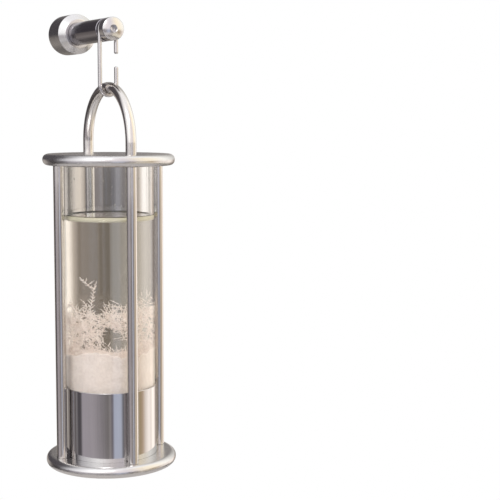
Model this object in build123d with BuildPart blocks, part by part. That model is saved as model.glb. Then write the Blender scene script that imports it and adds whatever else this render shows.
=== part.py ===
from build123d import *
from math import cos, pi, radians, sin
import os

# Storm glass in a four-post steel cage, hung by a bail and an open link from a wall peg.
# Origin: centre of the wall flange's rear face. +Z is up, the wall is the plane Y = 0,
# the peg points along -Y, and "front" means away from the wall.

# Wall peg, measured out from the wall
wall_reach = 84.0  # wall to the middle of the hook groove
flange_d = 31.5
flange_side = 22.0  # straight side of the flange
flange_bevel = 4.4  # bevel round the flange's front face
flange_bevel_round = 1.4
flange_rear_chamfer = 0.5
arm_seat_depth = 1.5  # arm sunk into the flange's face
arm_seat_clearance = 0.15
arm_root_d = 18.0
arm_end_d = 17.4
arm_edge_chamfer = 0.4
nose_d = 17.4
nose_length = 9.2
nose_crown = 1.1  # how far the domed face stands above its rim
nose_round = 0.7
groove_d = 9.6
nose_socket_af = 5.0
nose_socket_depth = 4.5
nose_socket_countersink = 0.6
nose_tail_d = 6.0
nose_tail_length = 14.0
nose_tail_gap = 1.0  # tail to the bottom of its bore

# Wall stud, threaded into the arm at one end and into the wall at the other
stud_machine_d = 8.0
stud_machine_length = 20.0  # thread inside the arm
stud_bore_clearance = 0.2
stud_wood_d = 7.5
stud_wood_root_d = 5.6
stud_wood_pitch = 3.2
stud_wood_ring = 2.4  # width of a ring at its root
stud_wood_land = 0.6  # width of its crest
stud_wood_start = 1.0  # wall face to the first ring
stud_wood_length = 34.0
stud_point_length = 6.0
stud_end_chamfer = 0.5
stud_end_gap = 1.0  # stud to the bottom of its bore

# Open link between the peg and the bail
wire_d = 3.2
link_straight = 42.3  # between the centres of its two bows
link_gap_top = 18.0  # centre of the upper bow to the upper wire end
link_gap = 9.6  # opening in the right-hand side, wide enough for the bail
link_end_round = 1.1
link_groove_clearance = 0.25
link_side_clearance = 0.9
link_bail_clearance = 0.15

# Cage
plate_d = 100.0
plate_thickness = 8.5
plate_round = 4.0
rod_d = 8.0
post_inset = 9.25  # plate's edge to the posts' centres
post_length = 222.5
post_chamfer = 0.3
bail_leg = 9.2  # straight stretch of the bail above the top plate

# Countersunk screws and the bail's threaded ends
thread_d = 5.0
thread_clearance = 0.05
plate_hole_clearance = 0.2
screw_length = 20.0
screw_head_d = 9.2
screw_seat_clearance = 0.05
screw_socket_af = 3.0
screw_socket_depth = 1.7
post_bore_depth = 15.0
bail_spigot_length = 19.0
bail_spigot_chamfer = 0.5

# Cup, glass and what is sealed in it
cup_post_gap = 1.45
cup_height = 54.5
cup_wall = 0.8
cup_floor = 1.0
cup_foot_round = 0.8
cup_seat_depth = 1.5  # cup let into the base plate
cup_seat_clearance = 0.15
pad_thickness = 2.0
pad_clearance = 0.3
glass_clearance = 0.3
glass_wall = 2.0
glass_floor = 2.6
glass_foot_round = 3.0
glass_inside_round = 4.0
glass_rim_round = 0.7
seal_thickness = 1.5
seal_recess = 2.0  # recess for the seal under the top plate
seal_clearance = 0.3
air_height = 39.5  # top plate's underside to the liquid
meniscus_rise = 2.2
meniscus_width = 3.0
contents_clearance = 0.05  # glass to liquid and crystals
bed_height = 78.0  # dense crystals above the glass floor
bed_crown = 4.0
fern_height = 60.0  # tallest frond above the bed
fern_thickness = 1.3
fern_stem_w = 1.4
fern_root_w = 1.8
fern_root_depth = 14.0  # frond sunk into the dense crystals
fern_bare_stem = 5.5  # clear of the bed's crown
fern_barb_pitch = 4.2
fern_barb_w = 2.2  # width of a barb where it leaves the stem
fern_barb_lift = 0.4  # lowest barb's tip above its own root, before its slope
fern_wall_gap = 0.6  # barbs to the glass

# Fronds of crystal: angle round the glass, distance from its axis as a share of its inner
# radius, height as a share of the tallest, turn about the frond's own stem
fern_places = (
    (205.0, 0.56, 1.0, 20.0),
    (262.0, 0.62, 0.5, -15.0),
    (318.0, 0.59, 0.63, 35.0),
    (20.0, 0.62, 0.43, 80.0),
    (85.0, 0.59, 0.67, 10.0),
    (150.0, 0.62, 0.57, 60.0),
    (0.0, 0.0, 0.37, 45.0),
)

# Sizes worked out from those above
flange_height = flange_side + flange_bevel
arm_root_y = -(flange_height - arm_seat_depth)
groove_width = wire_d + 2 * link_side_clearance
arm_end_y = -(wall_reach - groove_width / 2)
nose_rear_y = -(wall_reach + groove_width / 2)
nose_front_y = nose_rear_y - nose_length
stud_bore_d = stud_machine_d + 2 * stud_bore_clearance
bow_r = groove_d / 2 + link_groove_clearance + wire_d / 2
post_circle_r = plate_d / 2 - post_inset
low_bow_z = -link_straight
bail_apex_z = low_bow_z - bow_r + wire_d / 2 + link_bail_clearance + rod_d / 2
top_z = bail_apex_z - post_circle_r - bail_leg
top_under_z = top_z - plate_thickness
base_z = top_under_z - post_length
base_under_z = base_z - plate_thickness
cup_bottom_z = base_z - cup_seat_depth
pad_bottom_z = cup_bottom_z + cup_floor
glass_bottom_z = pad_bottom_z + pad_thickness
seal_top_z = top_under_z + seal_recess
glass_top_z = seal_top_z - seal_thickness
cup_d = 2 * (post_circle_r - rod_d / 2 - cup_post_gap)
glass_d = cup_d - 2 * (cup_wall + glass_clearance)
glass_inside_r = glass_d / 2 - glass_wall
contents_r = glass_inside_r - contents_clearance
contents_bottom_z = glass_bottom_z + glass_floor + contents_clearance
contents_round = glass_inside_round - contents_clearance
bed_top_z = contents_bottom_z + bed_height
liquid_z = top_under_z - air_height
bore_d = thread_d + 2 * thread_clearance

# Datums: the cage's vertical axis, its section plane, and planes to draw on at a height
cage_axis = Axis((0, -wall_reach, 0), (0, 0, 1))
cage_section = Plane.XZ.offset(wall_reach)


def level(z):
    """Horizontal plane through the cage's axis at height z, facing up."""
    return Plane(origin=(0, -wall_reach, z), x_dir=(1, 0, 0), z_dir=(0, 0, 1))


def underside(z):
    """Horizontal plane through the cage's axis at height z, facing down."""
    return Plane(origin=(0, -wall_reach, z), x_dir=(1, 0, 0), z_dir=(0, 0, -1))


side_places = ((-post_circle_r, 0), (post_circle_r, 0))
bail_places = ((0, -post_circle_r), (0, post_circle_r))

os.makedirs("parts", exist_ok=True)

# Wall flange: a bevelled boss, bored for the stud and recessed for the arm
with BuildPart() as wall_flange:
    with BuildSketch(Plane.XZ):
        Circle(flange_d / 2)
    extrude(amount=flange_height)
    front_rim = wall_flange.faces().sort_by(Axis.Y)[0].edges()
    chamfer(front_rim, length=flange_bevel)
    bevel_edge = wall_flange.faces().sort_by(Axis.Y)[0].edges()
    fillet(bevel_edge, radius=flange_bevel_round)
    rear_rim = wall_flange.faces().sort_by(Axis.Y)[-1].edges()
    chamfer(rear_rim, length=flange_rear_chamfer)
    with Locations(Plane.XZ.offset(flange_height)):
        CounterBoreHole(
            radius=stud_bore_d / 2,
            counter_bore_radius=arm_root_d / 2 + arm_seat_clearance,
            counter_bore_depth=arm_seat_depth,
        )

# Peg arm: a slightly tapered bar, tapped for the stud behind and for the nose in front
with BuildPart() as peg_arm:
    with BuildSketch(Plane.XY):
        with BuildLine():
            Polyline(
                (0, arm_root_y),
                (arm_root_d / 2, arm_root_y),
                (arm_end_d / 2, arm_end_y + arm_edge_chamfer),
                (arm_end_d / 2 - arm_edge_chamfer, arm_end_y),
                (0, arm_end_y),
                close=True,
            )
        make_face()
    revolve(axis=Axis.Y)
    with BuildSketch(Plane.XZ.offset(-arm_root_y)):
        Circle(stud_machine_d / 2 + thread_clearance)
    extrude(amount=stud_machine_length, mode=Mode.SUBTRACT)
    with BuildSketch(Plane.XZ.offset(-arm_end_y)):
        Circle(nose_tail_d / 2 + thread_clearance)
    extrude(amount=-nose_tail_length - nose_tail_gap, mode=Mode.SUBTRACT)

# Nose: closes the hook groove and screws into the arm with a hexagon key
with BuildPart() as nose_cap:
    with BuildSketch(Plane.XY):
        with BuildLine():
            Polyline(
                (0, nose_front_y),
                (0, arm_end_y + nose_tail_length),
                (nose_tail_d / 2, arm_end_y + nose_tail_length),
                (nose_tail_d / 2, arm_end_y),
                (groove_d / 2, arm_end_y),
                (groove_d / 2, nose_rear_y),
                (nose_d / 2, nose_rear_y),
                (nose_d / 2, nose_front_y + nose_crown),
            )
            ThreePointArc(
                (nose_d / 2, nose_front_y + nose_crown),
                (nose_d / 4, nose_front_y + nose_crown / 4),
                (0, nose_front_y),
            )
        make_face()
    revolve(axis=Axis.Y)
    nose_circles = nose_cap.edges().filter_by(GeomType.CIRCLE)
    nose_rims = nose_circles.filter_by(lambda rim: abs(rim.radius - nose_d / 2) < 0.01)
    fillet(nose_rims, radius=nose_round)
    with BuildSketch(Plane.XZ.offset(-nose_front_y)):
        RegularPolygon(radius=nose_socket_af / 2, side_count=6, major_radius=False)
    extrude(amount=-nose_socket_depth, mode=Mode.SUBTRACT)
    with BuildSketch(Plane.XZ.offset(-nose_front_y)):
        Circle(nose_socket_af / 2 + nose_socket_countersink)
    extrude(amount=-nose_socket_countersink, taper=44.0, mode=Mode.SUBTRACT)

# Wall stud: machine thread in the arm, coarse wood thread in the wall
with BuildPart() as wall_stud:
    stud_front_y = arm_root_y - stud_machine_length + stud_end_gap
    wood_turns = int((stud_wood_length - stud_point_length) / stud_wood_pitch)
    with BuildSketch(Plane.XY):
        with BuildLine():
            outline = [(0, stud_front_y)]
            outline += [(stud_machine_d / 2 - stud_end_chamfer, stud_front_y)]
            outline += [(stud_machine_d / 2, stud_front_y + stud_end_chamfer)]
            outline += [(stud_machine_d / 2, 0), (stud_wood_root_d / 2, stud_wood_start)]
            for turn in range(wood_turns):
                crest_y = stud_wood_start + (turn + 0.5) * stud_wood_pitch
                outline += [(stud_wood_root_d / 2, crest_y - stud_wood_ring / 2)]
                outline += [(stud_wood_d / 2, crest_y - stud_wood_land / 2)]
                outline += [(stud_wood_d / 2, crest_y + stud_wood_land / 2)]
                outline += [(stud_wood_root_d / 2, crest_y + stud_wood_ring / 2)]
            outline += [(stud_wood_root_d / 2, stud_wood_length - stud_point_length)]
            outline += [(0, stud_wood_length)]
            Polyline(*outline, close=True)
        make_face()
    revolve(axis=Axis.Y)

# Open link: a long wire oval with a gap in its right-hand side
with BuildPart() as hook_link:
    with BuildLine(cage_section) as link_path:
        upper_end = Line((bow_r, -link_gap_top), (bow_r, 0))
        upper_bow = CenterArc((0, 0), bow_r, 0, 180)
        closed_side = Line((-bow_r, 0), (-bow_r, low_bow_z))
        lower_bow = CenterArc((0, low_bow_z), bow_r, 180, 180)
        lower_end = Line((bow_r, low_bow_z), (bow_r, -link_gap_top - link_gap))
    with BuildSketch(Plane(origin=link_path.line @ 0, z_dir=link_path.line % 0)):
        Circle(wire_d / 2)
    sweep(path=link_path.line)
    wire_ends = hook_link.faces().filter_by(GeomType.PLANE).filter_by(Axis.Z)
    fillet(wire_ends.edges(), radius=link_end_round)

# Bail: one bent rod over the cage, with a threaded spigot at each foot
with BuildPart() as bail:
    with BuildLine(Plane.YZ) as bail_path:
        front_foot_y = -wall_reach - post_circle_r
        rear_foot_y = -wall_reach + post_circle_r
        front_leg = Line((front_foot_y, top_z), (front_foot_y, top_z + bail_leg))
        arch = CenterArc((-wall_reach, top_z + bail_leg), post_circle_r, 180, -180)
        rear_leg = Line((rear_foot_y, top_z + bail_leg), (rear_foot_y, top_z))
    with BuildSketch(level(top_z)):
        with Locations(bail_places[0]):
            Circle(rod_d / 2)
    sweep(path=bail_path.line)
    with BuildSketch(underside(top_z)):
        with Locations(*bail_places):
            Circle(thread_d / 2)
    extrude(amount=bail_spigot_length)
    chamfer(bail.faces().sort_by(Axis.Z)[:2].edges(), length=bail_spigot_chamfer)

# Top plate: disc with a full round rim, a recess for the seal and four fixing holes
with BuildPart() as top_plate:
    with BuildSketch(level(top_under_z)):
        Circle(plate_d / 2)
    extrude(amount=plate_thickness)
    fillet(top_plate.edges(), radius=plate_round)
    with BuildSketch(level(top_under_z)):
        Circle(glass_d / 2 + seal_clearance)
    extrude(amount=seal_recess, mode=Mode.SUBTRACT)
    with Locations(level(top_z)):
        with Locations(*bail_places):
            Hole(radius=thread_d / 2 + plate_hole_clearance, depth=plate_thickness)
        with Locations(*side_places):
            CounterSinkHole(
                radius=thread_d / 2 + plate_hole_clearance,
                counter_sink_radius=screw_head_d / 2 + screw_seat_clearance,
                depth=plate_thickness,
                counter_sink_angle=90,
            )

# Base plate: the same disc, let in for the cup and countersunk from below
with BuildPart() as base_plate:
    with BuildSketch(level(base_under_z)):
        Circle(plate_d / 2)
    extrude(amount=plate_thickness)
    fillet(base_plate.edges(), radius=plate_round)
    with BuildSketch(underside(base_z)):
        Circle(cup_d / 2 + cup_seat_clearance)
    extrude(amount=cup_seat_depth, mode=Mode.SUBTRACT)
    with Locations(underside(base_under_z)):
        with Locations(*side_places, *bail_places):
            CounterSinkHole(
                radius=thread_d / 2 + plate_hole_clearance,
                counter_sink_radius=screw_head_d / 2 + screw_seat_clearance,
                depth=plate_thickness,
                counter_sink_angle=90,
            )

# Four posts between the plates, bored and tapped at both ends
post_places = {
    "post_left": side_places[0],
    "post_right": side_places[1],
    "post_front": bail_places[0],
    "post_rear": bail_places[1],
}
for post_name, post_place in post_places.items():
    with BuildPart() as post:
        with BuildSketch(level(base_z)):
            with Locations(post_place):
                Circle(rod_d / 2)
        extrude(amount=post_length)
        chamfer(post.edges(), length=post_chamfer)
        with BuildSketch(level(base_z)):
            with Locations(post_place):
                Circle(bore_d / 2)
        extrude(amount=post_bore_depth, mode=Mode.SUBTRACT)
        with BuildSketch(level(top_under_z)):
            with Locations(post_place):
                Circle(bore_d / 2)
        extrude(amount=-post_bore_depth, mode=Mode.SUBTRACT)
    post.part.label = post_name
    export_step(post.part, f"parts/{post_name}.step")


def build_screws(face, places):
    """Countersunk socket screws with their heads flush in a face, one at each place."""
    with BuildPart() as screws:
        with BuildSketch(face):
            with Locations(*places):
                Circle(thread_d / 2)
        extrude(amount=-screw_length)
        with BuildSketch(face):
            with Locations(*places):
                Circle(screw_head_d / 2)
        extrude(amount=-(screw_head_d - thread_d) / 2, taper=45.0)
        with BuildSketch(face):
            with Locations(*places):
                RegularPolygon(radius=screw_socket_af / 2, side_count=6, major_radius=False)
        extrude(amount=-screw_socket_depth, mode=Mode.SUBTRACT)
    return screws


top_plate_screws = build_screws(level(top_z), side_places)
base_plate_screws = build_screws(underside(base_under_z), side_places + bail_places)

# Base cup: thin polished sleeve with a floor
with BuildPart() as base_cup:
    with BuildSketch(level(cup_bottom_z)):
        Circle(cup_d / 2)
    extrude(amount=cup_height)
    fillet(base_cup.faces().sort_by(Axis.Z)[0].edges(), radius=cup_foot_round)
    with BuildSketch(level(cup_bottom_z + cup_floor)):
        Circle(cup_d / 2 - cup_wall)
    extrude(amount=cup_height, mode=Mode.SUBTRACT)
    fillet(base_cup.faces().sort_by(Axis.Z)[-1].edges(), radius=cup_wall / 3)

# Soft pad under the glass
with BuildPart() as cup_pad:
    with BuildSketch(level(pad_bottom_z)):
        Circle(cup_d / 2 - cup_wall - pad_clearance)
    extrude(amount=pad_thickness)

# Seal between the glass rim and the top plate
with BuildPart() as top_seal:
    with BuildSketch(underside(seal_top_z)):
        Circle(glass_d / 2)
    extrude(amount=seal_thickness)

# Glass vessel: round-cornered tube with a floor and a fire-polished rim
with BuildPart() as glass_vessel:
    with BuildSketch(level(glass_bottom_z)):
        Circle(glass_d / 2)
    extrude(amount=glass_top_z - glass_bottom_z)
    fillet(glass_vessel.faces().sort_by(Axis.Z)[0].edges(), radius=glass_foot_round)
    with BuildSketch(level(glass_bottom_z + glass_floor)):
        Circle(glass_inside_r)
    extrude(amount=glass_top_z - glass_bottom_z - glass_floor, mode=Mode.SUBTRACT)
    inner_floor = glass_vessel.faces().filter_by(GeomType.PLANE).filter_by(Axis.Z).sort_by(Axis.Z)[1]
    fillet(inner_floor.edges(), radius=glass_inside_round)
    rim = glass_vessel.faces().sort_by(Axis.Z)[-1]
    fillet(rim.edges(), radius=glass_rim_round)


def frond_outline(height):
    """Half outline of a frond, root to tip: a spine with barbs that shorten upwards."""
    barb_count = int((height - fern_bare_stem) / fern_barb_pitch)
    stem = fern_stem_w / 2
    points = [(0.0, -fern_root_depth), (fern_root_w / 2, -fern_root_depth), (fern_root_w / 2, 0.0)]
    for barb in range(barb_count):
        along = barb / barb_count
        root = fern_bare_stem + along * (height - fern_bare_stem)
        reach = 0.17 * height * sin(pi * (0.25 + 0.75 * along))
        points += [(stem, root)]
        points += [(stem + reach, root + 0.9 * reach + fern_barb_lift)]
        points += [(stem, root + fern_barb_w)]
    points.append((0.0, height))
    return points


# Dense crystals: a crowned bed that fills the glass's foot
with BuildPart() as crystal_bed:
    with BuildSketch(cage_section):
        with BuildLine():
            Polyline(
                (0, bed_top_z + bed_crown),
                (0, contents_bottom_z),
                (contents_r, contents_bottom_z),
                (contents_r, bed_top_z),
            )
            Spline(
                (contents_r, bed_top_z),
                (0.72 * contents_r, bed_top_z + 0.35 * bed_crown),
                (0.4 * contents_r, bed_top_z - 0.1 * bed_crown),
                (0, bed_top_z + bed_crown),
            )
        make_face()
    revolve(axis=cage_axis)
    fillet(crystal_bed.faces().sort_by(Axis.Z)[0].edges(), radius=contents_round)

# Fern crystals: barbed fronds that stand up out of the bed
with BuildPart() as fern_crystals:
    for place_angle, place_r, frond_height, frond_turn in fern_places:
        frond_x = place_r * contents_r * cos(radians(place_angle))
        frond_y = place_r * contents_r * sin(radians(place_angle)) - wall_reach
        half = frond_outline(frond_height * fern_height)
        other_half = [(-x, y) for x, y in reversed(half[1:-1])]
        frond_plane = Plane(
            origin=(frond_x, frond_y, bed_top_z),
            x_dir=(cos(radians(frond_turn)), sin(radians(frond_turn)), 0),
            z_dir=(sin(radians(frond_turn)), -cos(radians(frond_turn)), 0),
        )
        with BuildSketch(frond_plane):
            with BuildLine():
                Polyline(*half, *other_half, close=True)
            make_face()
        extrude(amount=fern_thickness / 2, both=True)
    with BuildSketch(level(bed_top_z - fern_root_depth)):
        Circle(contents_r - fern_wall_gap)
    extrude(amount=fern_root_depth + fern_height, mode=Mode.INTERSECT)
    add(crystal_bed.part, mode=Mode.SUBTRACT)

# Liquid: fills the glass round the crystals and climbs its wall a little at the top
with BuildPart() as storm_liquid:
    with BuildSketch(cage_section):
        with BuildLine():
            Polyline(
                (0, liquid_z),
                (0, contents_bottom_z),
                (contents_r, contents_bottom_z),
                (contents_r, liquid_z + meniscus_rise),
            )
            Spline(
                (contents_r, liquid_z + meniscus_rise),
                (contents_r - meniscus_width / 3, liquid_z + meniscus_rise / 3),
                (contents_r - meniscus_width, liquid_z),
                tangents=[(-0.3, -1), (-1, 0)],
            )
            Line((contents_r - meniscus_width, liquid_z), (0, liquid_z))
        make_face()
    revolve(axis=cage_axis)
    fillet(storm_liquid.faces().sort_by(Axis.Z)[0].edges(), radius=contents_round)
    add(crystal_bed.part, mode=Mode.SUBTRACT)
    add(fern_crystals.part, mode=Mode.SUBTRACT)

named_parts = {
    "wall_flange": wall_flange,
    "peg_arm": peg_arm,
    "nose_cap": nose_cap,
    "wall_stud": wall_stud,
    "hook_link": hook_link,
    "bail": bail,
    "top_plate": top_plate,
    "base_plate": base_plate,
    "top_plate_screws": top_plate_screws,
    "base_plate_screws": base_plate_screws,
    "base_cup": base_cup,
    "cup_pad": cup_pad,
    "top_seal": top_seal,
    "glass_vessel": glass_vessel,
    "crystal_bed": crystal_bed,
    "fern_crystals": fern_crystals,
    "storm_liquid": storm_liquid,
}
for name, builder in named_parts.items():
    builder.part.label = name
    export_step(builder.part, f"parts/{name}.step")
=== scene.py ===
import logging
import math
from dataclasses import dataclass
from enum import Enum

import bpy
import numpy as np
from mathutils import Matrix, Vector


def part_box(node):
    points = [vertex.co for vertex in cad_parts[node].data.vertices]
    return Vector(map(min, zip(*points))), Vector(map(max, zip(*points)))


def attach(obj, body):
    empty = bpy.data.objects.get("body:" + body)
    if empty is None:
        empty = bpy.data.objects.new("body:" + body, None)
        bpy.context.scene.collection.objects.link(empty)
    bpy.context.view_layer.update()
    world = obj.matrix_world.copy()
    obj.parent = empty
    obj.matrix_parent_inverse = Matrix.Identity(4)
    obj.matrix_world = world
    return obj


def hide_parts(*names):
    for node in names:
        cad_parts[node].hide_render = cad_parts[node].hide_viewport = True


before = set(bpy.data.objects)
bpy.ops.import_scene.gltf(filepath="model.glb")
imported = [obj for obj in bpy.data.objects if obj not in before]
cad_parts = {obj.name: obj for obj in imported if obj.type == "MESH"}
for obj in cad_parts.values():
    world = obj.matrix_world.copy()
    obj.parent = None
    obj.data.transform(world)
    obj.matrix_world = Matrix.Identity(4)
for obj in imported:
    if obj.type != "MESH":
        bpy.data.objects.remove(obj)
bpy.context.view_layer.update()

log = logging.getLogger("storm_glass")

# Values shared by several sub-assemblies, in metres
CAGE_Y = -0.084
FULL_TURN = 2.0 * np.pi
UPWARD = np.array([0.0, 0.0, 1.0])
MARK_DEPTH = 0.0002  # of the finest marks in steel and glass
TO_CAMERA = (-0.394, -0.919)  # level direction from the cage towards the camera

# Shader values that several materials share
GRAIN_SCALE = 900.0
DUST = (0.5, 0.48, 0.45, 1.0)
WHITE = (1.0, 1.0, 1.0, 1.0)


class Body(Enum):
    """The bodies that pieces ride on."""

    WALL_PEG = "wall_peg"
    HOOK = "hook"
    CAGE = "storm_glass"


class GrainKind(Enum):
    """How a steel piece was finished."""

    TURNED_ABOUT_PEG = "turned about the peg's axis"
    TURNED_ABOUT_CAGE = "turned about the cage's axis"
    DRAWN = "drawn along its length"


def srgb(red: float, green: float, blue: float) -> tuple[float, float, float, float]:
    """Turn a colour written as screen values into a linear one.

    Args:
        red, green, blue: Screen values from 0 to 255.

    Returns:
        The linear colour with an alpha of 1.
    """
    values = np.array([red, green, blue]) / 255.0
    linear = np.where(values <= 0.04045, values / 12.92, ((values + 0.055) / 1.055) ** 2.4)
    return (*[float(v) for v in linear], 1.0)


class Tree:
    """A small helper that adds and joins shader nodes in one tree."""

    def __init__(self, tree: bpy.types.NodeTree) -> None:
        """Wrap a node tree and empty it."""
        self.tree = tree
        self.tree.nodes.clear()

    def add(self, kind: str, **settings) -> bpy.types.Node:
        """Add a node.

        Args:
            kind: The node's type name without its ShaderNode prefix.
            settings: Node properties, or input values where the name starts with in_ and a number.

        Returns:
            The new node.
        """
        node = self.tree.nodes.new("ShaderNode" + kind if not kind.startswith("Node") else kind)
        for name, value in settings.items():
            if name.startswith("in_"):
                self.put(node.inputs[int(name[3:])], value)
            else:
                setattr(node, name, value)
        return node

    def put(self, socket: bpy.types.NodeSocket, value) -> None:
        """Link an output to a socket, or set the socket's own value."""
        if isinstance(value, bpy.types.NodeSocket):
            self.tree.links.new(value, socket)
        else:
            socket.default_value = value

    def math(self, operation: str, *values) -> bpy.types.NodeSocket:
        """Add a Math node and return its output."""
        node = self.add("Math", operation=operation)
        for socket, value in zip(node.inputs, values):
            self.put(socket, value)
        return node.outputs[0]

    def mix(self, amount, first, second, blend: str = "MIX") -> bpy.types.NodeSocket:
        """Mix two colours by an amount and return the colour."""
        node = self.add("Mix", data_type="RGBA", blend_type=blend)
        self.put(node.inputs[0], amount)
        self.put(node.inputs[6], first)
        self.put(node.inputs[7], second)
        return node.outputs[2]

    def span(self, value, low: float, high: float, to_low: float, to_high: float) -> bpy.types.NodeSocket:
        """Map a range of values to another, clamped, and return the output."""
        node = self.add("MapRange", in_1=low, in_2=high, in_3=to_low, in_4=to_high)
        self.put(node.inputs[0], value)
        return node.outputs[0]

    def ramp(self, value, stops: list[tuple[float, tuple]]) -> bpy.types.NodeSocket:
        """Add a colour ramp with the given stops and return its colour."""
        node = self.add("ValToRGB")
        elements = node.color_ramp.elements
        for place, _ in stops[2:]:
            elements.new(place)
        for element, (place, colour) in zip(elements, stops):
            element.position = place
            element.color = colour
        self.put(node.inputs[0], value)
        return node.outputs[0]

    def fill(self, node: bpy.types.Node, **values) -> None:
        """Set or link a node's inputs by name, where _ stands for a space."""
        for name, value in values.items():
            self.put(node.inputs[name.replace("_", " ")], value)

    def noise(self, vector, scale) -> bpy.types.NodeSocket:
        """Add a noise texture and return its value."""
        node = self.add("TexNoise", in_0=vector)
        self.fill(node, Scale=scale)
        return node.outputs[0]

    def bump(self, height, strength: float, distance: float) -> bpy.types.Node:
        """Add a bump and return its node."""
        node = self.add("Bump")
        self.fill(node, Height=height, Strength=strength, Distance=distance)
        return node

    def use_group(self, group: bpy.types.NodeTree, **values) -> bpy.types.bpy_prop_collection:
        """Add a shared group, fill its inputs and return its outputs."""
        node = self.add("Group", node_tree=group)
        self.fill(node, **values)
        return node.outputs

    def radius_squared(self, vector) -> bpy.types.NodeSocket:
        """Return the square of a point's distance from the Z axis."""
        parts = self.add("SeparateXYZ", in_0=vector).outputs
        return self.math("ADD", self.math("POWER", parts[0], 2.0), self.math("POWER", parts[1], 2.0))


class SharedEffects:
    """Shader node groups that more than one material uses, each built once."""

    def __init__(self) -> None:
        """Build every group."""
        self.turning = self.build_turning_marks()
        self.drawing = self.build_drawn_lines()
        self.handling = self.build_handling_marks()
        self.dust = self.build_settled_dust()

    @staticmethod
    def new_group(name: str, inputs: list[tuple], outputs: list[tuple]) -> tuple[Tree, dict, dict]:
        """Start a group with named sockets.

        Args:
            name: The group's name.
            inputs: Rows of name, socket type and default value.
            outputs: Rows of name and socket type.

        Returns:
            The tree, its inputs by name and its output sockets by name.
        """
        group = bpy.data.node_groups.new(name, "ShaderNodeTree")
        tree = Tree(group)
        for socket_name, kind, value in inputs:
            socket = group.interface.new_socket(socket_name, in_out="INPUT", socket_type=kind)
            if value is not None:
                socket.default_value = value
        for socket_name, kind in outputs:
            group.interface.new_socket(socket_name, in_out="OUTPUT", socket_type=kind)
        entry = tree.add("NodeGroupInput")
        end = tree.add("NodeGroupOutput")
        return tree, {s.name: s for s in entry.outputs}, {s.name: s for s in end.inputs}

    def start_grain(self, name: str) -> tuple[Tree, dict, dict]:
        """Start a group of machining marks: a place and a scale in, a tone and a height out."""
        return self.new_group(
            name,
            [("Vector", "NodeSocketVector", None), ("Scale", "NodeSocketFloat", GRAIN_SCALE)],
            [("Tone", "NodeSocketFloat"), ("Height", "NodeSocketFloat")],
        )

    def build_turning_marks(self) -> bpy.types.NodeTree:
        """Fine rings round the Z axis: noise read by distance from the axis and by height."""
        tree, given, out = self.start_grain("turning_marks")
        ring = tree.math("SQRT", tree.radius_squared(given["Vector"]))
        height = tree.add("SeparateXYZ", in_0=given["Vector"]).outputs[2]
        flat = tree.add("CombineXYZ", in_0=ring, in_1=height, in_2=0.0)
        fine = tree.noise(flat.outputs[0], given["Scale"])
        broad = tree.noise(given["Vector"], 60.0)
        tree.put(out["Tone"], tree.math("MULTIPLY_ADD", fine, 0.75, tree.math("MULTIPLY", broad, 0.25)))
        tree.put(out["Height"], fine)
        return tree.tree

    def build_drawn_lines(self) -> bpy.types.NodeTree:
        """Fine lines along Z: noise stretched many times along the rod."""
        tree, given, out = self.start_grain("drawn_lines")
        stretch = tree.add("Mapping", in_0=given["Vector"], in_3=(1.0, 1.0, 0.02))
        fine = tree.noise(stretch.outputs[0], given["Scale"])
        broad = tree.noise(given["Vector"], 45.0)
        tree.put(out["Tone"], tree.math("MULTIPLY_ADD", fine, 0.7, tree.math("MULTIPLY", broad, 0.3)))
        tree.put(out["Height"], fine)
        return tree.tree

    def build_handling_marks(self) -> bpy.types.NodeTree:
        """Smudges and short fine scratches, as a mask of each."""
        tree, given, out = self.new_group(
            "handling_marks",
            [("Vector", "NodeSocketVector", None), ("Scale", "NodeSocketFloat", 35.0)],
            [("Smudge", "NodeSocketFloat"), ("Scratch", "NodeSocketFloat")],
        )
        cloud = tree.noise(given["Vector"], given["Scale"])
        tree.put(out["Smudge"], tree.span(cloud, 0.5, 0.72, 0.0, 1.0))
        cells = tree.add("TexVoronoi", feature="DISTANCE_TO_EDGE", in_0=given["Vector"])
        tree.fill(cells, Scale=260.0)
        thin = tree.span(cells.outputs[0], 0.0, 0.012, 1.0, 0.0)
        tree.put(out["Scratch"], tree.math("MULTIPLY", thin, cloud))
        return tree.tree

    def build_settled_dust(self) -> bpy.types.NodeTree:
        """Dust that lies on faces turned up: the normal's height times a fine noise."""
        tree, given, out = self.new_group(
            "settled_dust",
            [("Vector", "NodeSocketVector", None), ("Amount", "NodeSocketFloat", 0.2)],
            [("Mask", "NodeSocketFloat")],
        )
        up = tree.add("SeparateXYZ", in_0=tree.add("NewGeometry").outputs["Normal"])
        level = tree.span(up.outputs[2], 0.55, 1.0, 0.0, 1.0)
        specks = tree.span(tree.noise(given["Vector"], 420.0), 0.4, 0.7, 0.0, 1.0)
        tree.put(out["Mask"], tree.math("MULTIPLY", tree.math("MULTIPLY", level, specks), given["Amount"]))
        return tree.tree


def start_material(name: str) -> tuple[bpy.types.Material, Tree, bpy.types.Node]:
    """Make a material that holds one Principled shader.

    Args:
        name: The material's name.

    Returns:
        The material, its tree and the shader.
    """
    material = bpy.data.materials.new(name)
    material.use_nodes = True
    tree = Tree(material.node_tree)
    shader = tree.add("BsdfPrincipled")
    end = tree.add("OutputMaterial")
    tree.put(end.inputs[0], shader.outputs[0])
    return material, tree, shader


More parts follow.
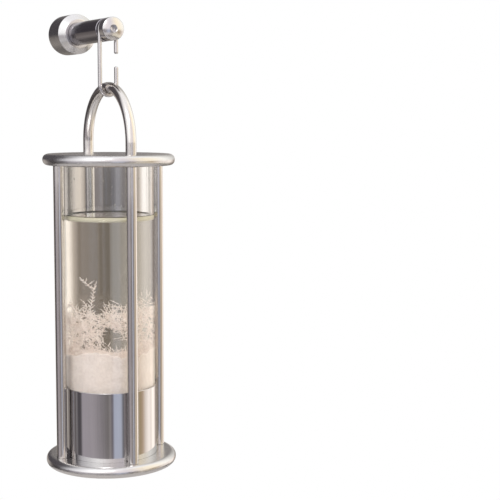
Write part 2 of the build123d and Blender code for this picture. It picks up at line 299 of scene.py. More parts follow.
@dataclass(frozen=True)
class SteelFinish:
    """Stainless or plated steel with the marks of its making, and a painted shade on its side where a radius
    is given.
    """

    name: str
    kind: GrainKind
    colour: tuple[float, float, float] = (0.62, 0.61, 0.61)
    roughness: float = 0.16
    grain: float = 0.03
    bump: float = 0.02
    dust: float = 0.0
    painted_shade_r: float = 0.0  # painted shade: past this radius the steel is painted darker by the shade tone below, standing in for the dark surroundings that the flange's side reflects; only where a radius is given
    painted_shade_tone: float = 0.75
    dome_r: float = 0.0  # radius of the gentle dome of the face, where one is given

    def toned(self, factor: float) -> tuple[float, float, float, float]:
        """Give the steel's colour, lighter or darker by a factor."""
        return (*[min(1.0, c * factor) for c in self.colour], 1.0)

    def make(self, effects: SharedEffects) -> bpy.types.Material:
        """Build the material.

        Args:
            effects: The shared groups.

        Returns:
            The finished material.
        """
        material, tree, shader = start_material(self.name)
        place = tree.add("TexCoord").outputs["Object"]
        if self.kind is GrainKind.TURNED_ABOUT_PEG:
            place = tree.add("Mapping", in_0=place, in_2=(math.pi / 2, 0.0, 0.0)).outputs[0]
        elif self.kind is GrainKind.TURNED_ABOUT_CAGE:
            place = tree.add("Mapping", in_0=place, in_1=(0.0, -CAGE_Y, 0.0)).outputs[0]
        marks = effects.drawing if self.kind is GrainKind.DRAWN else effects.turning
        grain = tree.use_group(marks, Vector=place, Scale=GRAIN_SCALE)
        handling = tree.use_group(effects.handling, Vector=place)
        dusty = tree.use_group(effects.dust, Vector=place, Amount=self.dust)
        colour = tree.mix(grain["Tone"], self.toned(0.9), self.toned(1.08))
        colour = tree.mix(dusty["Mask"], colour, DUST)
        square = tree.radius_squared(place)
        # Painted shade: the steel past the given radius, the flange's side, is painted darker in place of the
        # dark surroundings it reflects.
        if self.painted_shade_r:
            painted_side_shade = tree.span(tree.math("SQRT", square), self.painted_shade_r * 0.985, self.painted_shade_r * 0.995, 0.0, 1.0)
            colour = tree.mix(painted_side_shade, colour, self.toned(self.painted_shade_tone))
        rough = tree.math("MULTIPLY_ADD", grain["Tone"], self.grain * 2.0, self.roughness - self.grain)
        rough = tree.math("MULTIPLY_ADD", handling["Smudge"], 0.05, rough)
        rough = tree.math("MULTIPLY_ADD", handling["Scratch"], 0.08, rough)
        bump = tree.bump(grain["Height"], self.bump, MARK_DEPTH)
        tree.fill(shader, Base_Color=colour, Metallic=1.0, Roughness=rough, Normal=bump.outputs[0])
        if self.dome_r:
            dome = tree.bump(tree.math("MULTIPLY", square, -0.5 / self.dome_r), 1.0, 1.0)
            tree.fill(bump, Normal=dome.outputs[0])
        return material


@dataclass(frozen=True)
class ClearFinish:
    """Clear glass or liquid that bends light, and lets lamp light through to what is inside."""

    name: str
    colour: tuple[float, float, float]
    ior: float
    streaks: float = 0.0

    def make(self, effects: SharedEffects) -> bpy.types.Material:
        """Build the material: a transmitting shader, see-through for shadow and diffuse rays."""
        material, tree, shader = start_material(self.name)
        place = tree.add("TexCoord").outputs["Object"]
        marks = tree.use_group(effects.drawing, Vector=place, Scale=120.0)
        handling = tree.use_group(effects.handling, Vector=place)
        shaded = (*[c * 0.97 for c in self.colour], 1.0)
        tree.fill(shader, Transmission_Weight=1.0, IOR=self.ior,
                  Base_Color=tree.mix(marks["Tone"], shaded, (*self.colour, 1.0)),
                  Roughness=tree.math("MULTIPLY", handling["Smudge"], 0.03))
        if self.streaks:
            tree.fill(shader, Normal=tree.bump(marks["Height"], self.streaks, MARK_DEPTH).outputs[0])
        rays = tree.add("LightPath").outputs
        through = tree.math("MAXIMUM", rays["Is Shadow Ray"], rays["Is Diffuse Ray"])
        clear = tree.add("BsdfTransparent", in_0=(*[0.5 + 0.5 * c for c in self.colour], 1.0))
        blend = tree.add("MixShader", in_0=through, in_1=shader.outputs[0], in_2=clear.outputs[0])
        end = next(n for n in tree.tree.nodes if n.bl_idname == "ShaderNodeOutputMaterial")
        tree.put(end.inputs[0], blend.outputs[0])
        return material


@dataclass(frozen=True)
class CrystalFinish:
    """Fine cream-white crystals."""

    name: str
    light: tuple[float, float, float, float] = srgb(246, 235, 230)
    shade: tuple[float, float, float, float] = srgb(218, 204, 197)
    speck_scale: float = 700.0
    contrast: float = 0.6
    softness: float = 0.25
    painted_emission: float = 0.0  # painted light: emission that stands in for the light that many scatterings in the crystals send back

    def make(self, effects: SharedEffects) -> bpy.types.Material:
        """Build the material from two sizes of noise."""
        material, tree, shader = start_material(self.name)
        place = tree.add("TexCoord").outputs["Object"]
        fine = tree.noise(place, self.speck_scale)
        clump = tree.noise(place, self.speck_scale / 6.0)
        mixed = tree.math("MULTIPLY_ADD", fine, 0.6, tree.math("MULTIPLY", clump, 0.4))
        amount = tree.span(mixed, 0.35, 0.62, 1.0 - self.contrast, 1.0)
        # Painted light: the emission makes the crystals give off a little light of their own, in place of
        # light scattered within them.
        tree.fill(shader, Base_Color=tree.mix(amount, self.shade, self.light), Roughness=0.55,
                  Subsurface_Weight=self.softness, Subsurface_Radius=(1.0, 0.9, 0.8),
                  Subsurface_Scale=0.0015, Emission_Color=srgb(255, 238, 226),
                  Emission_Strength=self.painted_emission, Normal=tree.bump(fine, 0.5, 0.0003).outputs[0])
        return material


@dataclass(frozen=True)
class MeniscusHighlightPaint:
    """Painted highlight: a cream ring in place of the bright line of light that the liquid's edge shows to a
    viewer outside the glass.
    """

    name: str = "meniscus_painted_highlight"
    light: tuple[float, float, float, float] = srgb(232, 228, 206)
    shade: tuple[float, float, float, float] = srgb(214, 208, 184)

    def make(self, effects: SharedEffects) -> bpy.types.Material:
        """Build the material: a painted cream highlight on the outer wall seen from outside, and nothing
        elsewhere.
        """
        material, tree, shader = start_material(self.name)
        place = tree.add("TexCoord").outputs["Object"]
        geometry = tree.add("NewGeometry").outputs
        centred = tree.add("VectorMath", operation="ADD", in_0=place, in_1=(0.0, -CAGE_Y, 0.0)).outputs[0]
        level = tree.add("VectorMath", operation="MULTIPLY", in_0=centred, in_1=(1.0, 1.0, 0.0)).outputs[0]
        outward = tree.add("VectorMath", operation="DOT_PRODUCT", in_0=level, in_1=geometry["Normal"])
        outer = tree.math("GREATER_THAN", outward.outputs["Value"], 0.0)
        front = tree.math("SUBTRACT", 1.0, geometry["Backfacing"])
        tree.fill(shader, Base_Color=tree.mix(tree.noise(place, 90.0), self.shade, self.light),
                  Roughness=0.5, Alpha=tree.math("MULTIPLY", tree.math("MULTIPLY", outer, front), 0.88))
        return material


@dataclass(frozen=True)
class SiliconeFinish:
    """Soft translucent silicone for the seal and the pad."""

    name: str = "soft_silicone"

    def make(self, effects: SharedEffects) -> bpy.types.Material:
        """Build the material."""
        material, tree, shader = start_material(self.name)
        cloud = tree.noise(tree.add("TexCoord").outputs["Object"], 160.0)
        tree.fill(shader, Base_Color=tree.mix(cloud, srgb(196, 194, 188), srgb(218, 217, 212)),
                  Roughness=tree.span(cloud, 0.3, 0.7, 0.42, 0.55))
        return material


class Finishes:
    """All the object's materials, made once."""

    def __init__(self) -> None:
        """Make each material from its finish."""
        effects = SharedEffects()
        peg, cage, drawn = GrainKind.TURNED_ABOUT_PEG, GrainKind.TURNED_ABOUT_CAGE, GrainKind.DRAWN
        flange_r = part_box("wall_flange")[1].x
        self.flange = SteelFinish("flange_steel", peg, roughness=0.24, grain=0.05, bump=0.05, dust=0.1,
                                  painted_shade_r=flange_r).make(effects)
        # Painted shade: the arm's steel colour is much darker than the other steel, standing in for the dark
        # surroundings its polished surface reflects.
        self.arm = SteelFinish("painted_dark_arm_steel", peg, colour=(0.30, 0.285, 0.31), roughness=0.14).make(effects)
        self.nose = SteelFinish("nose_steel", peg, roughness=0.2, grain=0.04, bump=0.05,
                                dome_r=0.027).make(effects)
        self.zinc = SteelFinish("zinc_steel", peg, colour=(0.66, 0.66, 0.64), roughness=0.34).make(effects)
        self.wire = SteelFinish("wire_steel", drawn, colour=(0.55, 0.53, 0.53), roughness=0.2, grain=0.015,
                                bump=0.006).make(effects)
        self.rod = SteelFinish("rod_steel", drawn, colour=(0.66, 0.635, 0.61), roughness=0.15).make(effects)
        self.plate = SteelFinish("plate_steel", cage, roughness=0.25, grain=0.04, bump=0.04,
                                 dust=0.15).make(effects)
        self.cup = SteelFinish("cup_steel", drawn, roughness=0.07, grain=0.015, bump=0.006).make(effects)
        self.screw = SteelFinish("screw_steel", drawn, colour=(0.58, 0.57, 0.57),
                                 roughness=0.22).make(effects)
        self.glass = ClearFinish("clear_glass", (0.965, 0.975, 0.965), 1.5, streaks=0.01).make(effects)
        self.liquid = ClearFinish("storm_liquid", (0.968, 0.948, 0.912), 1.36).make(effects)
        self.drop = ClearFinish("condensed_drop", (0.97, 0.97, 0.96), 1.36).make(effects)
        self.crystal = CrystalFinish("dense_crystal").make(effects)
        self.frond = CrystalFinish("frond_crystal", light=srgb(254, 246, 242), shade=srgb(222, 208, 200),
                                   contrast=1.0, softness=0.4, painted_emission=0.10).make(effects)
        self.meniscus = MeniscusHighlightPaint().make(effects)
        self.silicone = SiliconeFinish().make(effects)


def dress(node_names: tuple[str, ...], material: bpy.types.Material) -> None:
    """Give CAD nodes a material in each of their slots.

    Args:
        node_names: The nodes.
        material: What they wear.
    """
    for node_name in node_names:
        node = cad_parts[node_name]
        if not node.material_slots:
            node.data.materials.append(material)
        for material_slot in node.material_slots:
            material_slot.material = material


def put_mesh(name: str, vertices: np.ndarray, faces: list[np.ndarray], material: bpy.types.Material,
             smooth: bool = True) -> bpy.types.Object:
    """Make an object from arrays of vertices and faces.

    Args:
        name: The piece's name.
        vertices: One row for each point, in metres.
        faces: Arrays of corner numbers, each array with one size of face.
        material: What the piece wears.
        smooth: Whether the faces are shaded smooth.

    Returns:
        The new object, at the origin.
    """
    corners = np.concatenate([block.reshape(-1) for block in faces]).astype(np.int32)
    sizes = np.concatenate([np.full(len(block), block.shape[1]) for block in faces]).astype(np.int32)
    starts = np.concatenate([[0], np.cumsum(sizes)[:-1]]).astype(np.int32)
    mesh = bpy.data.meshes.new(name)
    mesh.vertices.add(len(vertices))
    mesh.vertices.foreach_set("co", np.ascontiguousarray(vertices, dtype=np.float32).reshape(-1))
    mesh.loops.add(len(corners))
    mesh.loops.foreach_set("vertex_index", corners)
    mesh.polygons.add(len(sizes))
    mesh.polygons.foreach_set("loop_start", starts)
    mesh.polygons.foreach_set("loop_total", sizes)
    mesh.polygons.foreach_set("use_smooth", np.full(len(sizes), smooth))
    mesh.update(calc_edges=True)
    mesh.validate()
    mesh.materials.append(material)
    piece = bpy.data.objects.new(name, mesh)
    bpy.context.scene.collection.objects.link(piece)
    return piece


def on_ring(radii: np.ndarray, angles: np.ndarray, heights: np.ndarray) -> np.ndarray:
    """Place points by radius, angle and height round the cage's axis."""
    spread = np.broadcast_arrays(radii * np.cos(angles), CAGE_Y + radii * np.sin(angles), heights)
    return np.stack(spread, -1)


def ring_quads(first: int, around: int, rows: int) -> np.ndarray:
    """Join rings of points by faces.

    Args:
        first: Number of the first ring's first point.
        around: Points in a ring.
        rows: Rows of faces, one fewer than the rings.

    Returns:
        The faces' corner numbers.
    """
    step = np.arange(around)
    after = (step + 1) % around
    starts = [first + around * row for row in range(rows)]
    rings = [(here, here + around) for here in starts]
    return np.concatenate([np.stack([low + step, high + step, high + after, low + after], -1)
                           for low, high in rings])


def turned_surface(radii: np.ndarray, heights: np.ndarray,
                   around: int) -> tuple[np.ndarray, list[np.ndarray]]:
    """Turn a profile about the cage's axis into a closed surface.

    The profile starts and ends on the axis. A point at angle a is (r cos a, cage y + r sin a, z), and each
    end of the profile is one point, joined by a fan of triangles.

    Args:
        radii: Profile radii, or one row of radii for each angle.
        heights: Profile heights, or one row of heights for each angle.
        around: How many steps there are round the axis.

    Returns:
        The vertices and the blocks of faces.
    """
    radii = np.broadcast_to(radii, (around, radii.shape[-1]))
    heights = np.broadcast_to(heights, (around, heights.shape[-1]))
    angles = np.linspace(0.0, FULL_TURN, around, endpoint=False)[:, None]
    rings = on_ring(radii[:, 1:-1], angles, heights[:, 1:-1])
    steps = rings.shape[1]
    ends = np.array([[0.0, CAGE_Y, heights[:, 0].mean()], [0.0, CAGE_Y, heights[:, -1].mean()]])
    vertices = np.concatenate([rings.reshape(-1, 3), ends])
    column = np.arange(around)[:, None] * steps
    following = np.roll(column, -1, axis=0)
    row = np.arange(steps - 1)[None, :]
    quads = np.stack([column + row, following + row, following + row + 1, column + row + 1], -1)
    first, last = len(vertices) - 2, len(vertices) - 1
    start_fan = np.stack([np.full(around, first), following[:, 0], column[:, 0]], -1)
    end_fan = np.stack([np.full(around, last), column[:, 0] + steps - 1, following[:, 0] + steps - 1], -1)
    return vertices, [quads.reshape(-1, 4), start_fan, end_fan]


def needles(starts: np.ndarray, ends: np.ndarray, widths: np.ndarray) -> tuple[np.ndarray, list[np.ndarray]]:
    """Make thin closed needles: a triangle round the start and a point at the end.

    Args:
        starts: Root of each needle.
        ends: Tip of each needle.
        widths: Half width of each needle.

    Returns:
        The vertices and the blocks of faces.
    """
    along = ends - starts
    length = np.linalg.norm(along, axis=1, keepdims=True)
    direction = along / np.maximum(length, 1e-9)
    helper = np.where(np.abs(direction[:, 2:3]) < 0.9, [[0.0, 0.0, 1.0]], [[1.0, 0.0, 0.0]])
    side = np.cross(direction, helper)
    side /= np.linalg.norm(side, axis=1, keepdims=True)
    other = np.cross(direction, side)
    corner_angles = (np.array([0.0, 2.0, 4.0]) * np.pi / 3.0)[None, :, None]
    spread = side[:, None] * np.cos(corner_angles) + other[:, None] * np.sin(corner_angles)
    ring = starts[:, None] + spread * widths[:, None, None]
    vertices = np.concatenate([ring, ends[:, None]], axis=1)
    base = np.arange(len(starts))[:, None, None] * 4
    faces = np.array([[0, 2, 1], [0, 1, 3], [1, 2, 3], [2, 0, 3]])[None] + base
    return vertices.reshape(-1, 3), [faces.reshape(-1, 3)]


@dataclass
class WallPeg:
    """Flange, arm, nose and stud on the wall."""

    body: Body = Body.WALL_PEG

    def build(self, finishes: Finishes) -> list[str]:
        """Dress the peg's nodes and return their names."""
        dress(("wall_flange",), finishes.flange)
        dress(("peg_arm",), finishes.arm)
        dress(("nose_cap",), finishes.nose)
        dress(("wall_stud",), finishes.zinc)
        return ["wall_flange", "peg_arm", "nose_cap", "wall_stud"]


@dataclass
class OpenLink:
    """The wire link between the peg and the bail."""

    body: Body = Body.HOOK

    def build(self, finishes: Finishes) -> list[str]:
        """Dress the link and return its name."""
        dress(("hook_link",), finishes.wire)
        return ["hook_link"]


@dataclass
class SteelCage:
    """Bail, plates, posts, cup and screws."""

    body: Body = Body.CAGE

    def build(self, finishes: Finishes) -> list[str]:
        """Dress the cage's nodes and return their names."""
        rods = ("bail", "post_left", "post_right", "post_front", "post_rear")
        plates = ("top_plate", "base_plate")
        screws = ("top_plate_screws", "base_plate_screws")
        dress(rods, finishes.rod)
        dress(plates, finishes.plate)
        dress(screws, finishes.screw)
        dress(("base_cup",), finishes.cup)
        dress(("cup_pad", "top_seal"), finishes.silicone)
        return [*rods, *plates, *screws, "base_cup", "cup_pad", "top_seal"]


@dataclass
class GlassTube:
    """The vessel and the liquid sealed in it."""

    body: Body = Body.CAGE
    liquid_r: float = 0.0326  # inside the glass wall, so that no film of air shows
    overlap: float = 0.0004
    wall_r: float = 0.0322
    corner_r: float = 0.0044
    meniscus_rise: float = 0.0007
    meniscus_width: float = 0.0016
    band_height: float = 0.0033
    around: int = 160
    drops: int = 26
    drop_sizes: tuple[float, float] = (0.00025, 0.0007)
    drop_around: int = 12
    drop_rows: int = 5
    seed: int = 4

    def liquid(self, finishes: Finishes) -> bpy.types.Object:
        """Build the liquid: a round-cornered cylinder round the crystals, down to the glass's floor.

        Its top is level in the middle and climbs as a square in the last millimetres before the glass.
        """
        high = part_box("storm_liquid")[1]
        bottom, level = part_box("crystal_bed")[0].z - self.overlap, high.z - self.meniscus_rise
        bend = np.linspace(0.0, np.pi / 2, 12)
        corner_centre = self.liquid_r - self.corner_r
        foot_r = corner_centre + self.corner_r * np.sin(bend)
        foot_z = bottom + self.corner_r * (1.0 - np.cos(bend))
        share = np.linspace(0.0, 1.0, 14)
        climb_r = self.wall_r - self.meniscus_width * share
        climb_z = level + self.meniscus_rise * (1.0 - share) ** 2.0
        middle = np.linspace(self.wall_r - self.meniscus_width, 0.0, 12)[1:]
        flat_floor = np.linspace(0.0, corner_centre, 10)[:-1]
        rise = np.linspace(bottom + self.corner_r, high.z, 40)[1:]
        radii = np.concatenate([flat_floor, foot_r, np.full(len(rise), self.liquid_r), climb_r, middle])
        floor_z, middle_z = np.full(len(flat_floor), bottom), np.full(len(middle), level)
        heights = np.concatenate([floor_z, foot_z, rise, climb_z, middle_z])
        vertices, faces = turned_surface(radii, heights, self.around)
        piece = put_mesh("storm_liquid_fill", vertices, faces, finishes.liquid)
        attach(piece, self.body.value)
        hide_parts("storm_liquid")
        return piece

    def band(self, finishes: Finishes) -> bpy.types.Object:
        """Build the painted highlight under the liquid's edge: a thin closed cream ring just inside the
        glass, in place of the bright line of light there.
        """
        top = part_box("storm_liquid")[1].z - self.meniscus_rise
        angles = np.linspace(0.0, FULL_TURN, self.around, endpoint=False)
        outer, inner, low = self.wall_r - 0.0001, self.wall_r - 0.0004, top - self.band_height
        corners = ((inner, top), (outer, top), (outer, low), (inner, low))
        points = np.stack([on_ring(r, angles, z) for r, z in corners], 1).reshape(-1, 3)
        here = np.arange(self.around) * 4
        after = np.roll(here, -1)
        quads = np.concatenate([np.stack([here + k, here + (k + 1) % 4, after + (k + 1) % 4, after + k], -1)
                                for k in range(4)])
        piece = put_mesh("meniscus_painted_highlight_band", points, [quads], finishes.meniscus)
        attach(piece, self.body.value)
        return piece

    def condensation(self, finishes: Finishes) -> bpy.types.Object:
        """Build a few drops on the inside of the glass above the liquid: flattened balls against the wall."""
        rng = np.random.default_rng(self.seed)
        level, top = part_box("storm_liquid")[1].z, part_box("glass_vessel")[1].z
        angles = rng.uniform(0.0, FULL_TURN, self.drops)
        heights = rng.uniform(level + 0.003, top - 0.008, self.drops)
        sizes = rng.uniform(*self.drop_sizes, self.drops)
        turn = np.linspace(0.0, FULL_TURN, self.drop_around, endpoint=False)
        tilt = np.linspace(0.0, np.pi, self.drop_rows + 2)[1:-1, None]
        rings = np.stack(np.broadcast_arrays(np.sin(tilt) * np.cos(turn), np.sin(tilt) * np.sin(turn),
                                             np.cos(tilt)), -1).reshape(-1, 3)
        ball = np.concatenate([[UPWARD], rings, [-UPWARD]])
        last = len(ball) - 1
        step = np.arange(self.drop_around)
        after = (step + 1) % self.drop_around
        top_fan = np.stack([np.zeros_like(step), 1 + step, 1 + after], -1)
        low_ring = last - self.drop_around
        low_fan = np.stack([np.full_like(step, last), low_ring + after, low_ring + step], -1)
        rows = ring_quads(1, self.drop_around, self.drop_rows - 1)
        outward = np.stack([np.cos(angles), np.sin(angles), np.zeros(self.drops)], -1)
        across = np.stack([-np.sin(angles), np.cos(angles), np.zeros(self.drops)], -1)
        centres = on_ring(self.wall_r - 0.00012, angles, heights)
        scaled = ball[None] * sizes[:, None, None]
        points = (centres[:, None] + across[:, None] * scaled[..., 0:1]
                  + outward[:, None] * scaled[..., 1:2] * 0.3 + UPWARD * scaled[..., 2:3] * 1.25)
        base = np.arange(self.drops)[:, None, None] * len(ball)
        fans = (np.concatenate([top_fan, low_fan])[None] + base).reshape(-1, 3)
        quads = (rows[None] + base).reshape(-1, 4)
        piece = put_mesh("condensation_drops", points.reshape(-1, 3), [fans, quads], finishes.drop)
        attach(piece, self.body.value)
        return piece

    def build(self, finishes: Finishes) -> list[str]:
        """Dress the glass and build what is in it."""
        dress(("glass_vessel",), finishes.glass)
        pieces = [build_piece(finishes) for build_piece in (self.liquid, self.band, self.condensation)]
        return ["glass_vessel", *[piece.name for piece in pieces]]


@dataclass
class CrystalGarden:
    """The dense bed and the ferns that stand up out of it."""

    body: Body = Body.CAGE
    bed_r: float = 0.0319
    clear_r: float = 0.0314
    bed_sink: float = 0.0045  # how far the bed's middle level lies under its node's top
    around: int = 300
    seed: int = 11
    bed_fall: float = 0.010  # how much lower the bed's top is at the back than at the front
    spray_root: tuple = (-0.0103, 0.0134)  # to the right and towards the camera, from the axis
    spray: tuple = ((-0.0008, -0.010), (-0.0016, 0.018), (-0.0024, 0.0335), (-0.0010, 0.0413), (0.0, 0.0486),
                    (0.0011, 0.0515), (0.0019, 0.0545))
    branch: tuple = ((0.0, 0.0481), (-0.0033, 0.0508), (-0.0068, 0.0544), (-0.0101, 0.0574))
    bushes: tuple = (  # share of the radius to the right and towards the camera, height over the bed, reach
        (-0.90, 0.10, 0.024, 0.007), (-0.85, 0.30, 0.018, 0.008), (-0.80, 0.40, 0.009, 0.009),
        (-0.93, -0.10, 0.012, 0.008), (-0.88, 0.00, 0.028, 0.005), (-0.55, 0.50, 0.016, 0.009),
        (-0.50, 0.60, 0.008, 0.009), (-0.60, 0.20, 0.020, 0.007), (-0.10, 0.40, 0.025, 0.008),
        (0.10, 0.50, 0.024, 0.009), (0.25, 0.20, 0.029, 0.007), (0.05, 0.30, 0.022, 0.007),
        (0.35, 0.40, 0.023, 0.008), (-0.32, 0.70, 0.013, 0.008), (-0.20, 0.75, 0.002, 0.006),
        (0.15, 0.80, -0.001, 0.005), (0.50, 0.60, 0.022, 0.008), (0.75, 0.20, 0.029, 0.008),
        (0.80, 0.40, 0.017, 0.009), (0.85, 0.10, 0.008, 0.009), (0.60, 0.60, 0.005, 0.008),
        (0.90, 0.00, 0.024, 0.007), (0.70, 0.30, 0.036, 0.005), (-0.70, 0.00, 0.020, 0.009),
        (0.60, 0.00, 0.018, 0.009), (-0.62, 0.66, -0.002, 0.007), (0.70, 0.00, 0.000, 0.009),
        (-0.75, 0.10, 0.004, 0.009), (0.45, 0.55, 0.012, 0.007), (-0.42, 0.35, 0.017, 0.008),
    )
    rear_bushes: tuple = (
        (-0.55, -0.60, 0.012, 0.010), (0.55, -0.60, 0.014, 0.010), (-0.70, -0.45, 0.000, 0.010),
        (0.70, -0.50, 0.000, 0.010), (0.00, -0.80, 0.020, 0.008), (-0.30, -0.72, 0.022, 0.008),
        (0.35, -0.72, 0.024, 0.008), (-0.78, -0.40, 0.020, 0.008), (0.80, -0.35, 0.024, 0.008),
        (0.15, -0.70, 0.018, 0.008), (-0.45, -0.30, 0.018, 0.008),
    )
    bush_fronds: int = 15
    bush_scatter: float = 0.0030
    thicket_fronds: int = 190
    felt_needles: int = 9000
    heaps: tuple[float, float] = (0.0022, 130.0)  # height and waves per metre turn, on the bed's top
    grains: tuple[float, float] = (0.0009, 700.0)
    stem_step: float = 0.0013  # from one barb to the next
    stem_half: float = 0.00042  # half width at a frond's root
    stem_taper: float = 0.00022  # how much thinner it is at the tip
    barb_half: float = 0.00028
    barblet_half: float = 0.00018
    barblet_places: tuple = (0.3, 0.55, 0.8)
    barb_scatter: float = 0.45  # how far barbs leave the frond's plane
    spray_stoutness: float = 1.45
    bush_stoutness: float = 1.15
    bush_barb: float = 0.38  # longest barb as a share of the bush's reach
    shoot_r: float = 0.0305
    shoot_heights: tuple[float, float] = (0.006, 0.017)
    shoot_barb: float = 0.0042
    hollow: tuple[float, float] = (0.6, 0.00008)  # how much lower the shoots are there, and its square width
    felt_r: float = 0.031
    felt_lengths: tuple[float, float] = (0.002, 0.0065)
    felt_halves: tuple[float, float] = (0.00010, 0.00024)
    corner_r: float = 0.0042  # of the bed's foot, inside the glass's own rounded foot

    @staticmethod
    def wave_field(x: np.ndarray, y: np.ndarray, scale: float, rng: np.random.Generator) -> np.ndarray:
        """Sum sine waves of random heading and phase: a smooth random height from about -1 to 1."""
        count = 14
        headings = rng.uniform(0.0, FULL_TURN, count)
        phases = rng.uniform(0.0, FULL_TURN, count)
        rates = scale * rng.uniform(0.5, 1.6, count)
        waves = zip(headings, phases, rates)
        total = sum(np.sin(r * (x * np.cos(h) + y * np.sin(h)) + p) for h, p, r in waves)
        return total / np.sqrt(count)

    def level(self) -> float:
        """Give the height of the bed's top at the front."""
        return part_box("crystal_bed")[1].z - self.bed_sink

    def spot(self, right: float, towards: float, z: float) -> np.ndarray:
        """Turn distances to the right and towards the camera into a point."""
        fx, fy = TO_CAMERA
        return np.array([-right * fy + towards * fx, CAGE_Y + right * fx + towards * fy, z])

    def bed_top(self, x: np.ndarray, y: np.ndarray) -> np.ndarray:
        """Height of the bed's top: its level, broad heaps and a fine crystal grain."""
        rng = np.random.default_rng(self.seed)
        towards = (x * TO_CAMERA[0] + y * TO_CAMERA[1]) / self.bed_r
        level = self.level() + self.bed_fall * (towards - 1.0) / 2.0
        (heap, heap_rate), (grain, grain_rate) = self.heaps, self.grains
        level = level + heap * self.wave_field(x, y, heap_rate, rng)
        return level + grain * self.wave_field(x, y, grain_rate, rng)

    def bed(self, finishes: Finishes) -> bpy.types.Object:
        """Build the bed: a closed cylinder with a heaped top and small hollows against the glass."""
        rng = np.random.default_rng(self.seed + 1)
        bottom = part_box("crystal_bed")[0].z + 0.0001
        angles = np.linspace(0.0, FULL_TURN, self.around, endpoint=False)[:, None]
        wall_share = np.linspace(0.0, 1.0, 70)[None, :]
        edge_z = self.bed_top(self.bed_r * np.cos(angles), self.bed_r * np.sin(angles))
        corner = self.corner_r
        wall_z = bottom + corner + (edge_z - bottom - corner) * wall_share
        round_x, round_y = self.bed_r * np.cos(angles), self.bed_r * np.sin(angles)
        dents = self.wave_field(round_x + 0.6 * wall_z, round_y - 0.8 * wall_z, 500.0, rng)
        dents = dents + 0.7 * self.wave_field(round_x - 0.9 * wall_z, round_y + 0.5 * wall_z, 1600.0, rng)
        wall_r = self.bed_r - 0.0003 - 0.00012 * np.clip(dents, -1.0, 2.0)
        shares = np.linspace(1.0, 0.0, 64)[None, 1:]
        top_r = (self.bed_r - 0.0008) * shares * np.ones_like(angles)
        top_z = self.bed_top(top_r * np.cos(angles), top_r * np.sin(angles))
        bend = np.linspace(0.0, np.pi / 2, 8)[None, :-1] * np.ones_like(angles)
        foot_r = self.bed_r - corner + (corner - 0.0004) * np.sin(bend)
        foot_z = bottom + corner * (1.0 - np.cos(bend))
        floor_r = np.linspace(0.0, self.bed_r - corner, 8)[None, :-1] * np.ones_like(angles)
        floor_z = np.full_like(floor_r, bottom)
        radii = np.concatenate([floor_r, foot_r, wall_r, top_r], axis=1)
        heights = np.concatenate([floor_z, foot_z, wall_z, top_z], axis=1)
        vertices, faces = turned_surface(radii, heights, self.around)
        piece = put_mesh("dense_crystal_bed", vertices, faces, finishes.crystal)
        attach(piece, self.body.value)
        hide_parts("crystal_bed")
        return piece

    def frond(self, stem: np.ndarray, across: np.ndarray, reach: float, rng: np.random.Generator,
              stoutness: float = 1.0) -> list[np.ndarray]:
        """Grow one frond as needles along a stem.

        The stem is a chain of needles. Barbs leave it by turns to either side at about 45 degrees and shorten
        upwards, and each barb carries barblets of its own.

        Args:
            stem: Points up the stem, evenly spaced.
            across: The frond's sideways direction.
            reach: The longest barb.
            rng: Where the scatter comes from.
            stoutness: How many times thicker than usual the needles are.

        Returns:
            Arrays of starts, ends and half widths.
        """
        count = len(stem) - 1
        share = np.linspace(0.0, 1.0, count)
        step = stem[1:] - stem[:-1]
        up = step / np.linalg.norm(step, axis=1, keepdims=True)
        out = np.cross(across, (stem[-1] - stem[0]) / np.linalg.norm(stem[-1] - stem[0]))
        starts, ends = [stem[:-1]], [stem[1:] + step * 0.3]
        widths = [self.stem_half - self.stem_taper * share]
        side = np.where(np.arange(count) % 2 == 0, 1.0, -1.0)
        taper = np.sin(np.pi * (0.2 + 0.75 * share))
        length = np.maximum(reach * taper * rng.uniform(0.35, 1.0, count), 0.0006)
        barb_dir = (across * side[:, None] + up * rng.uniform(0.6, 1.3, count)[:, None]
                    + out * rng.normal(0.0, self.barb_scatter, count)[:, None])
        barb_dir /= np.linalg.norm(barb_dir, axis=1, keepdims=True)
        barb_end = stem[:-1] + barb_dir * length[:, None]
        starts.append(stem[:-1])
        ends.append(barb_end)
        widths.append(np.full(count, self.barb_half))
        for place in self.barblet_places:
            for lift in (1.0, -0.6):
                leaf_start = stem[:-1] + (barb_end - stem[:-1]) * place
                leaf_dir = (barb_dir + up * lift) * 0.7
                leaf_dir += out * rng.normal(0.0, self.barb_scatter, count)[:, None]
                leaf_dir /= np.linalg.norm(leaf_dir, axis=1, keepdims=True)
                starts.append(leaf_start)
                ends.append(leaf_start + leaf_dir * (length * 0.40 * (1.1 - place))[:, None])
                widths.append(np.full(count, self.barblet_half))
        return [np.concatenate(starts), np.concatenate(ends), np.concatenate(widths) * stoutness]

    def straight_stem(self, root: np.ndarray, height: float, turn: float, lean: float,
                      rng: np.random.Generator) -> tuple[np.ndarray, np.ndarray]:
        """Draw a stem that rises from a root in a gentle bow, and give its sideways direction too."""
        heading = np.radians(turn)
        across = np.array([np.cos(heading), np.sin(heading), 0.0])
        count = max(5, int(height / self.stem_step))
        share = np.linspace(0.0, 1.0, count + 1)
        bow = rng.uniform(-0.12, 0.12)
        sway = height * (lean * share + bow * np.sin(np.pi * share)) + rng.normal(0.0, 0.00015, count + 1)
        stem = root + UPWARD * (share * height)[:, None] + across * sway[:, None]
        return stem, across

